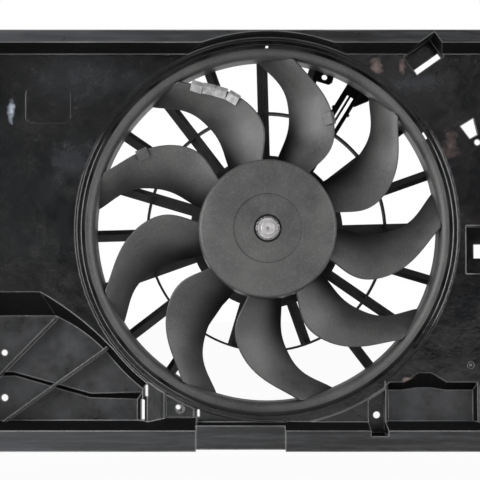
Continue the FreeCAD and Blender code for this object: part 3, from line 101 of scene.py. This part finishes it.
# Shroud: spans along Y, X and Z, then places
FLANGE_SPAN = (0.012, 0.001)
PANEL_SPAN = (0.0374, 0.0362)
DEEP_SPAN = (0.0445, 0.047)
DEEP_BELOW = (-0.05, -0.06)
# Painted edge highlights fade out over this depth span down the barrel
EDGE_HIGHLIGHT_SPAN = (0.075, 0.065)
RIB_FRONT = (0.0385, 0.0395)
RIB_REAR = (0.046, 0.042)
WARM_SIDE = (0.08, 0.25)
PALE_SIDE = (0.06, -0.26)
OPENING = (0.0, 0.0, 0.2, 0.2)
POCKET = (-0.225, 0.127, 0.034, 0.028)
RIBS = (-0.21, -0.14, 0.13, 0.08)
# Painted edge highlights: places where they are full, their grey and the radius of the edges that take
# them
EDGE_HIGHLIGHT_RIMS = ((-0.19, 0.0, 0.03, 0.17), (0.19, 0.0, 0.03, 0.17), (-0.23, -0.15, 0.17, 0.11))
EDGE_HIGHLIGHT_GREY = 170
EDGE_HIGHLIGHT_RADIUS = 0.0024

# Painted highlights and reflections on the panels, broad soft ones and small bright ones: place, grey
# level and tint
PANEL_HIGHLIGHTS = (
    ((-0.262, 0.122, 0.004, 0.012), 200, COOL),
    ((-0.180, 0.155, 0.060, 0.026), 40, COOL),
    ((-0.195, 0.070, 0.040, 0.026), 44, COOL),
    ((0.112, 0.167, 0.007, 0.010), 96, WARM),
    ((0.150, 0.150, 0.050, 0.012), 44, COOL),
    ((0.138, 0.167, 0.004, 0.010), 100, WARM),
    ((0.188, 0.085, 0.009, 0.018), 80, WARM),
    ((0.150, -0.154, 0.012, 0.004), 150, WARM),
)


def socket(node, name, value):
    """Sets one input of a node."""
    node.inputs[name].default_value = value


def new_material(name):
    """Empty node material with its output and one Principled shader."""
    material = bpy.data.materials.new(name)
    material.use_nodes = True
    tree = material.node_tree
    tree.nodes.clear()
    output = tree.nodes.new("ShaderNodeOutputMaterial")
    shader = tree.nodes.new("ShaderNodeBsdfPrincipled")
    tree.links.new(shader.outputs["BSDF"], output.inputs["Surface"])
    return material, tree, shader


def own_place(tree):
    """Coordinates of a point in the piece's own frame."""
    return tree.nodes.new("ShaderNodeTexCoord").outputs["Object"]


def noise(tree, scale, detail=4.0, roughness=0.55, stretch=EVEN):
    """Noise in the piece's own frame, whose scale is in waves per metre."""
    mapping = tree.nodes.new("ShaderNodeMapping")
    socket(mapping, "Scale", stretch)
    tree.links.new(own_place(tree), mapping.inputs["Vector"])
    texture = tree.nodes.new("ShaderNodeTexNoise")
    socket(texture, "Scale", scale)
    socket(texture, "Detail", detail)
    socket(texture, "Roughness", roughness)
    tree.links.new(mapping.outputs["Vector"], texture.inputs["Vector"])
    return texture.outputs["Fac"]


def ranged(tree, value, low, high, start=0.3, end=0.7):
    """Maps a value between start and end to one between low and high, held there beyond them."""
    node = tree.nodes.new("ShaderNodeMapRange")
    tree.links.new(value, node.inputs["Value"])
    socket(node, "From Min", start)
    socket(node, "From Max", end)
    socket(node, "To Min", low)
    socket(node, "To Max", high)
    return node.outputs["Result"]


def calculated(tree, operation, first, *others):
    """Result of an operation on two or more values, one after the other, held between 0 and 1."""
    result = first
    for other in others:
        node = tree.nodes.new("ShaderNodeMath")
        node.operation = operation
        node.use_clamp = True
        for slot, value in zip(node.inputs, (result, other)):
            if isinstance(value, float):
                slot.default_value = value
            else:
                tree.links.new(value, slot)
        result = node.outputs["Value"]
    return result


def product(tree, *values):
    """Product of values."""
    return calculated(tree, "MULTIPLY", *values)


def total(tree, *values):
    """Sum of values."""
    return calculated(tree, "ADD", *values)


def inverted(tree, value):
    """One less a value."""
    return calculated(tree, "SUBTRACT", 1.0, value)


def mixed(tree, factor, first, second):
    """Colour mix by a factor."""
    node = tree.nodes.new("ShaderNodeMix")
    node.data_type = "RGBA"
    tree.links.new(factor, node.inputs["Factor"])
    for slot, colour in zip(MIX_COLOURS, (first, second)):
        if isinstance(colour, tuple):
            node.inputs[slot].default_value = colour
        else:
            tree.links.new(colour, node.inputs[slot])
    return node.outputs[MIX_RESULT]


def grey(level, tint=PLAIN):
    """Linear colour of a display grey, with a slight tint."""
    linear = ((level / 255.0 + 0.055) / 1.055) ** 2.4 if level > 10 else level / 255.0 / 12.92
    return (linear * tint[0], linear * tint[1], linear * tint[2], 1.0)


def bevelled(tree, radius):
    """Normal with the edges rounded by a radius."""
    bevel = tree.nodes.new("ShaderNodeBevel")
    bevel.samples = BEVEL_SAMPLES
    socket(bevel, "Radius", radius)
    return bevel.outputs["Normal"]


def bumped(tree, normal, height, strength, distance):
    """Normal with a fine bump added."""
    bump = tree.nodes.new("ShaderNodeBump")
    socket(bump, "Strength", strength)
    socket(bump, "Distance", distance)
    tree.links.new(height, bump.inputs["Height"])
    tree.links.new(normal, bump.inputs["Normal"])
    return bump.outputs["Normal"]


def finish_normal(tree, shader, height, strength, distance, radius):
    """Gives a shader rounded edges and a fine surface bump."""
    normal = bumped(tree, bevelled(tree, radius), height, strength, distance)
    tree.links.new(normal, shader.inputs["Normal"])


def edge_factor(tree, radius):
    """Value that rises on convex and concave edges, where the rounded normal leaves the face's own."""
    geometry = tree.nodes.new("ShaderNodeNewGeometry")
    dot = tree.nodes.new("ShaderNodeVectorMath")
    dot.operation = "DOT_PRODUCT"
    tree.links.new(bevelled(tree, radius), dot.inputs[0])
    tree.links.new(geometry.outputs["Normal"], dot.inputs[1])
    return ranged(tree, dot.outputs["Value"], 1.0, 0.0, EDGE_START, EDGE_END)


def facing(tree):
    """1 on faces square to the fan's axis, 0 on the walls between them."""
    geometry = tree.nodes.new("ShaderNodeNewGeometry")
    split = tree.nodes.new("ShaderNodeSeparateXYZ")
    tree.links.new(geometry.outputs["True Normal"], split.inputs["Vector"])
    size = calculated(tree, "ABSOLUTE", split.outputs["Y"], 0.0)
    return ranged(tree, size, 0.0, 1.0, WALL_START, WALL_END)


def along(tree, axis, span):
    """Value that goes from 0 to 1 over a span along an axis."""
    split = tree.nodes.new("ShaderNodeSeparateXYZ")
    tree.links.new(own_place(tree), split.inputs["Vector"])
    return ranged(tree, split.outputs[axis], 0.0, 1.0, *span)


def patch(tree, place, core, ragged=None):
    """Soft round patch at a place: 1 inside its core, 0 outside it, with a torn rim where ragged."""
    x, z, half_x, half_z = place
    mapping = tree.nodes.new("ShaderNodeMapping")
    socket(mapping, "Location", (-x / half_x, 0.0, -z / half_z))
    socket(mapping, "Scale", (1.0 / half_x, 0.0, 1.0 / half_z))
    tree.links.new(own_place(tree), mapping.inputs["Vector"])
    length = tree.nodes.new("ShaderNodeVectorMath")
    length.operation = "LENGTH"
    tree.links.new(mapping.outputs["Vector"], length.inputs[0])
    if ragged is None:
        return ranged(tree, length.outputs["Value"], 1.0, 0.0, core, 1.0)
    torn = tree.nodes.new("ShaderNodeMath")
    torn.operation = "MULTIPLY_ADD"
    tree.links.new(ragged, torn.inputs[0])
    torn.inputs[1].default_value = -RAGGED_DEPTH
    tree.links.new(length.outputs["Value"], torn.inputs[2])
    shift = RAGGED_DEPTH / 2
    return ranged(tree, torn.outputs["Value"], 1.0, 0.0, core - shift, 1.0 - shift)


def fan_plastic():
    """Satin grey moulding: grained, with painted shade in corners, at the blades' roots and in the hub's
    recess round the screw.
    """
    material, tree, shader = new_material("fan_grey")
    mottle = noise(tree, scale=30.0, detail=6.0, roughness=0.65)
    fine = noise(tree, scale=1400.0, detail=3.0, roughness=0.6)
    grain = noise(tree, scale=500.0, detail=3.0, roughness=0.7)
    # Painted shade: occlusion darkens the colour in corners and where the hub shades the blades
    hidden = tree.nodes.new("ShaderNodeAmbientOcclusion")
    hidden.samples = OCCLUSION_SAMPLES
    socket(hidden, "Distance", SHADE_REACH)
    light = mixed(tree, ranged(tree, mottle, 0.0, 1.0), grey(64), grey(88, (1.0, 1.0, 0.98)))
    light = mixed(tree, ranged(tree, grain, 0.0, 0.5, start=0.5, end=0.75), light, grey(112))
    dark = grey(28, (1.04, 1.0, 0.98))
    open_air = ranged(tree, hidden.outputs["AO"], 0.0, 1.0, start=0.45, end=0.95)
    colour = mixed(tree, open_air, dark, light)
    # Painted shade: the blades' roots, deep behind the hub, are painted near black
    root = product(tree, along(tree, "Y", ROOT_SPAN), patch(tree, BLADE_ROOTS, 0.6))
    colour = mixed(tree, root, colour, grey(14))
    # Painted shade: the hub's recess round the screw is painted near black
    colour = mixed(tree, patch(tree, HUB_RECESS, 0.95), colour, grey(12))
    tree.links.new(colour, shader.inputs["Base Color"])
    tree.links.new(ranged(tree, mottle, 0.36, 0.5), shader.inputs["Roughness"])
    socket(shader, "Specular IOR Level", 0.5)
    finish_normal(tree, shader, fine, strength=0.25, distance=0.0003, radius=0.0012)
    return material


def shroud_panel(tree, flat, cloud, mottle, torn):
    """Colour of the panels: cloudy near black, warmer to the right, with dull walls and painted
    highlights and reflections.
    """
    panel = mixed(tree, ranged(tree, cloud, 0.0, 1.0), grey(8), grey(24, (0.92, 1.0, 1.12)))
    warm = ranged(tree, mottle, 0.0, 0.7, start=0.4, end=0.65)
    warm = product(tree, along(tree, "X", WARM_SIDE), warm)
    panel = mixed(tree, warm, panel, grey(34, (1.25, 0.93, 0.9)))
    panel = mixed(tree, ranged(tree, mottle, 0.0, 0.4, start=0.5, end=0.75), panel, grey(40))
    panel = mixed(tree, flat, grey(9), panel)
    # Painted highlights and reflections, kept to the front faces
    for place, level, tint in PANEL_HIGHLIGHTS:
        painted_highlight = product(tree, patch(tree, place, 0.0, torn), along(tree, "Y", PANEL_SPAN))
        panel = mixed(tree, painted_highlight, panel, grey(level, tint))
    return panel


def shroud_satin(tree, deep, mottle, torn):
    """Colour of the satin parts: streaked flanges, paler to the left, and mottled deep floors."""
    streak = noise(tree, scale=30.0, detail=6.0, roughness=0.75, stretch=(0.3, 1.0, 6.0))
    side = mixed(tree, along(tree, "X", PALE_SIDE), grey(18), grey(52, SOFT_COOL))
    streak = ranged(tree, streak, 0.0, 1.0, start=0.45, end=0.75)
    side = mixed(tree, streak, side, grey(74, (0.95, 1.0, 1.12)))
    cloud = ranged(tree, mottle, 0.0, 1.0, start=0.35, end=0.65)
    recess = mixed(tree, cloud, grey(22), grey(60, (0.93, 1.0, 1.1)))
    stain = ranged(tree, torn, 0.0, 0.5, start=0.5, end=0.7)
    recess = mixed(tree, stain, recess, grey(56, (1.15, 0.95, 1.0)))
    return mixed(tree, deep, side, recess)


def shroud_edge_highlights(tree, cloud):
    """How strongly edges get a painted pale highlight: fully beside the opening and round the lower left
    recess, less on that recess's ribs and elsewhere, and not on the square pocket or far down the barrel."""
    rims = total(tree, *[patch(tree, place, 0.7) for place in EDGE_HIGHLIGHT_RIMS])
    edge_light = ranged(tree, cloud, 0.3, 0.8, start=0.4, end=0.6)
    edge_light = product(tree, edge_light, inverted(tree, patch(tree, OPENING, 0.97)))
    edge_light = calculated(tree, "MAXIMUM", edge_light, rims)
    ribs = product(tree, along(tree, "Y", RIB_FRONT), along(tree, "Y", RIB_REAR),
                   patch(tree, RIBS, 0.95))
    return product(tree, edge_light, inverted(tree, patch(tree, POCKET, 0.9)),
                   along(tree, "Y", EDGE_HIGHLIGHT_SPAN), inverted(tree, product(tree, ribs, 0.7)))


def shroud_plastic():
    """Glossy black moulding with dull walls, satin flanges and deep floors, painted highlights and
    reflections on the panels and painted highlights along the edges.
    """
    material, tree, shader = new_material("shroud_black")
    cloud = noise(tree, scale=9.0, detail=4.0, roughness=0.55)
    mottle = noise(tree, scale=45.0, detail=5.0, roughness=0.65)
    torn = noise(tree, scale=70.0, detail=6.0, roughness=0.7)
    speck = noise(tree, scale=420.0, detail=3.0, roughness=0.7)
    waves = noise(tree, scale=26.0, detail=3.0, roughness=0.5)
    flat = facing(tree)
    deep = product(tree, along(tree, "Y", DEEP_SPAN), along(tree, "Z", DEEP_BELOW))
    satin = product(tree, total(tree, along(tree, "Y", FLANGE_SPAN), deep), flat)

    panel = shroud_panel(tree, flat, cloud, mottle, torn)
    colour = mixed(tree, satin, panel, shroud_satin(tree, deep, mottle, torn))
    colour = mixed(tree, ranged(tree, speck, 0.0, 0.3, start=0.6, end=0.8), colour, grey(48))
    # Painted highlights: edges are coloured pale, as lines of light along the rims
    painted_edge_highlight = product(tree, edge_factor(tree, EDGE_HIGHLIGHT_RADIUS), shroud_edge_highlights(tree, cloud))
    colour = mixed(tree, painted_edge_highlight, colour, grey(EDGE_HIGHLIGHT_GREY))
    tree.links.new(colour, shader.inputs["Base Color"])

    roughness = total(tree, ranged(tree, mottle, 0.13, 0.26, start=0.35, end=0.7),
                      ranged(tree, speck, 0.0, 0.1, start=0.5, end=0.8),
                      product(tree, satin, 0.14), product(tree, inverted(tree, flat), 0.5))
    tree.links.new(roughness, shader.inputs["Roughness"])
    specular = ranged(tree, flat, 0.15, 0.6, start=0.0, end=1.0)
    tree.links.new(specular, shader.inputs["Specular IOR Level"])
    normal = bumped(tree, bevelled(tree, 0.0013), waves, strength=1.0, distance=0.0012)
    normal = bumped(tree, normal, speck, strength=0.35, distance=0.0003)
    tree.links.new(normal, shader.inputs["Normal"])
    return material


def carrier_plastic():
    """Dull black moulding, with a painted sheen of front light, dark grey, on the struts' fronts but not
    round the cable strut.
    """
    material, tree, shader = new_material("carrier_black")
    mottle = noise(tree, scale=60.0, detail=5.0, roughness=0.65)
    fine = noise(tree, scale=900.0, detail=3.0, roughness=0.6)
    cloud = ranged(tree, mottle, 0.0, 1.0)
    # Painted sheen: the struts' front faces are painted grey, as the front light on them
    nose_sheen = product(tree, along(tree, "Y", NOSE_SHEEN_SPAN), inverted(tree, patch(tree, CABLE_STRUT, 0.9)))
    dark = mixed(tree, cloud, grey(7), grey(18))
    colour = mixed(tree, nose_sheen, dark, mixed(tree, cloud, grey(30), grey(54)))
    tree.links.new(colour, shader.inputs["Base Color"])
    tree.links.new(ranged(tree, mottle, 0.6, 0.75), shader.inputs["Roughness"])
    socket(shader, "Specular IOR Level", 0.2)
    finish_normal(tree, shader, fine, strength=0.25, distance=0.0003, radius=0.001)
    return material


def plastic(name, dark, light, rough, specular, radius, grain, tint=PLAIN):
    """Plain moulded plastic: cloudy colour and roughness, fine grain and rounded edges."""
    material, tree, shader = new_material(name)
    cloud = noise(tree, scale=14.0, detail=5.0, roughness=0.6)
    fine = noise(tree, scale=grain, detail=3.0, roughness=0.6)
    colour = mixed(tree, ranged(tree, cloud, 0.0, 1.0), grey(dark, tint), grey(light, tint))
    tree.links.new(colour, shader.inputs["Base Color"])
    tree.links.new(ranged(tree, cloud, *rough), shader.inputs["Roughness"])
    socket(shader, "Specular IOR Level", specular)
    finish_normal(tree, shader, fine, strength=0.25, distance=0.0003, radius=radius)
    return material


def metal(name, dark, light, rough, scale, radius, tint=PLAIN, stretch=EVEN, metallic=1.0):
    """Metal with drawn or turned streaks, bare or under a pale satin plating."""
    material, tree, shader = new_material(name)
    streak = noise(tree, scale=scale, detail=4.0, roughness=0.6, stretch=stretch)
    colour = mixed(tree, ranged(tree, streak, 0.0, 1.0), grey(dark, tint), grey(light, tint))
    tree.links.new(colour, shader.inputs["Base Color"])
    tree.links.new(ranged(tree, streak, *rough), shader.inputs["Roughness"])
    socket(shader, "Metallic", metallic)
    finish_normal(tree, shader, streak, strength=0.15, distance=0.0002, radius=radius)
    return material


def dress(material, *nodes):
    """Gives CAD nodes a material in all their slots."""
    for name in nodes:
        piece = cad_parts[name]
        for slot in piece.material_slots:
            slot.material = material


def dress_all():
    """Materials on every node."""
    dress(shroud_plastic(), "shroud_housing")
    dress(carrier_plastic(), "motor_carrier")
    dress(plastic("cover_black", 30, 44, rough=(0.35, 0.5), specular=0.45, radius=0.001, grain=900.0),
          "end_cover")
    dress(fan_plastic(), "fan_wheel")
    dress(plastic("card_brown", 78, 96, rough=(0.4, 0.6), specular=0.4, radius=0.0004, grain=900.0,
                  tint=(1.2, 0.9, 0.7)), "brush_card", "thrust_washers")
    dress(metal("zinc_steel", 150, 190, rough=(0.25, 0.4), scale=60.0, radius=0.0006,
                tint=(0.98, 1.0, 1.05)), "mount_bushes", "motor_can", "motor_screws")
    dress(metal("plated_steel", 185, 212, rough=(0.3, 0.45), scale=200.0, radius=0.0004,
                tint=(1.02, 0.99, 1.0), metallic=0.5), "fan_washer", "fan_screw")
    dress(metal("ground_steel", 190, 225, rough=(0.2, 0.3), scale=200.0, radius=0.0004,
                stretch=(1.0, 0.1, 1.0)), "hub_insert", "motor_shaft")
    dress(metal("spring_steel", 120, 160, rough=(0.25, 0.4), scale=120.0, radius=0.0003),
          "magnet_springs", "brush_springs", "bush_clips", "retaining_ring")
    dress(metal("clip_steel", 150, 215, rough=(0.45, 0.65), scale=180.0, radius=0.0003, metallic=0.3),
          "balance_clip_strip")
    dress(metal("clip_dull", 88, 116, rough=(0.5, 0.65), scale=180.0, radius=0.0003, metallic=0.2),
          "balance_clip_right", "balance_clip_left")
    dress(metal("tin_brass", 190, 215, rough=(0.2, 0.35), scale=90.0, radius=0.0003,
                tint=(1.0, 0.93, 0.7)), "socket_terminals", "brush_holders")
    dress(metal("copper_wire", 150, 185, rough=(0.25, 0.4), scale=160.0, radius=0.0004,
                tint=(1.15, 0.62, 0.4)), "armature_windings", "commutator", "choke_coils")
    dress(metal("bronze", 140, 165, rough=(0.35, 0.5), scale=160.0, radius=0.0004,
                tint=(1.1, 0.85, 0.5)), "front_bush", "rear_bush")
    dress(metal("laminated_steel", 110, 140, rough=(0.3, 0.45), scale=900.0, radius=0.0003,
                stretch=(0.05, 1.0, 0.05)), "armature_core")
    dress(plastic("ferrite", 48, 62, rough=(0.5, 0.7), specular=0.4, radius=0.0005, grain=1200.0),
          "magnets", "brushes")


def add_camera():
    """Camera at the photograph's view, tilted up slightly so that depth lines meet below its centre."""
    camera = bpy.data.cameras.new("camera")
    camera.sensor_width = SENSOR_MM
    camera.lens = SENSOR_MM * CAMERA_DISTANCE / (IMAGE_PIXELS * METRES_PER_PIXEL)
    camera.clip_end = CAMERA_REACH
    holder = bpy.data.objects.new("camera", camera)
    bpy.context.collection.objects.link(holder)
    tilt = math.atan(VANISHING_PIXELS * METRES_PER_PIXEL / CAMERA_DISTANCE)
    holder.location = (CAMERA_X, -CAMERA_DISTANCE, CAMERA_Z)
    holder.rotation_euler = (math.pi / 2 + tilt, 0.0, 0.0)
    bpy.context.scene.camera = holder


def sees_background(tree, gloss_share):
    """Share of the white background that a ray sees: all for the camera, a part for gloss and glass."""
    path = tree.nodes.new("ShaderNodeLightPath")
    mirrored = total(tree, path.outputs["Is Glossy Ray"], path.outputs["Is Transmission Ray"])
    return total(tree, path.outputs["Is Camera Ray"], product(tree, mirrored, gloss_share))


def floor_material():
    """Pale matte floor, nearly white to the camera, that keeps a faint shadow."""
    material, tree, shader = new_material("floor_white")
    socket(shader, "Base Color", (0.9, 0.9, 0.9, 1.0))
    socket(shader, "Roughness", 0.9)
    socket(shader, "Specular IOR Level", 0.1)
    white = tree.nodes.new("ShaderNodeEmission")
    choose = tree.nodes.new("ShaderNodeMixShader")
    output = [node for node in tree.nodes if node.type == "OUTPUT_MATERIAL"][0]
    share = product(tree, sees_background(tree, 1.0), FLOOR_WHITE)
    tree.links.new(share, choose.inputs[0])
    tree.links.new(shader.outputs["BSDF"], choose.inputs[1])
    tree.links.new(white.outputs["Emission"], choose.inputs[2])
    tree.links.new(choose.outputs["Shader"], output.inputs["Surface"])
    return material


def plane(name, corners, material):
    """Stage object of one face."""
    mesh = bpy.data.meshes.new(name)
    mesh.from_pydata(corners, [], [(0, 1, 2, 3)])
    holder = bpy.data.objects.new(name, mesh)
    bpy.context.collection.objects.link(holder)
    mesh.materials.append(material)
    return holder


def add_floor():
    """Plain pale floor under the part."""
    low = CAD_BOX[0][2] - FLOOR_GAP
    half = ROOM_SIZE / 2
    plane("floor", [(-half, -half, low), (half, -half, low), (half, half, low), (-half, half, low)],
          floor_material())


def add_dark_card():
    """Dark card behind the camera, for the gloss of the flat panels. The camera never sees it."""
    material, _, shader = new_material("card_dark")
    socket(shader, "Base Color", grey(CARD_GREY))
    socket(shader, "Roughness", 0.9)
    card = plane("dark_card", [(-CARD_HALF, CARD_Y, CARD_LOW), (CARD_HALF, CARD_Y, CARD_LOW),
                               (CARD_HALF, CARD_Y, CARD_HIGH), (-CARD_HALF, CARD_Y, CARD_HIGH)], material)
    card.visible_camera = False


def add_lamps():
    """Soft rectangular lamps, each aimed at a point."""
    for name, place, aim, size, power in LAMPS:
        lamp = bpy.data.lights.new(name, "AREA")
        lamp.shape = "RECTANGLE"
        lamp.size, lamp.size_y = size
        lamp.energy = power
        holder = bpy.data.objects.new(name, lamp)
        holder.location = place
        holder.rotation_euler = (Vector(aim) - Vector(place)).to_track_quat("-Z", "Y").to_euler()
        bpy.context.collection.objects.link(holder)


def background(tree, strength):
    """White world shader of a given strength."""
    node = tree.nodes.new("ShaderNodeBackground")
    socket(node, "Color", (1.0, 1.0, 1.0, 1.0))
    socket(node, "Strength", strength)
    return node.outputs["Background"]


def add_world():
    """World that is white to the camera and a soft grey light for the part."""
    world = bpy.data.worlds.new("studio")
    bpy.context.scene.world = world
    world.use_nodes = True
    tree = world.node_tree
    tree.nodes.clear()
    output = tree.nodes.new("ShaderNodeOutputWorld")
    choose = tree.nodes.new("ShaderNodeMixShader")
    tree.links.new(sees_background(tree, GLOSS_SHARE), choose.inputs[0])
    tree.links.new(background(tree, WORLD_LIGHT), choose.inputs[1])
    tree.links.new(background(tree, 1.0), choose.inputs[2])
    tree.links.new(choose.outputs["Shader"], output.inputs["Surface"])


bpy.context.scene.view_settings.view_transform = "Standard"
add_camera()
add_world()
add_lamps()
add_floor()
add_dark_card()
dress_all()
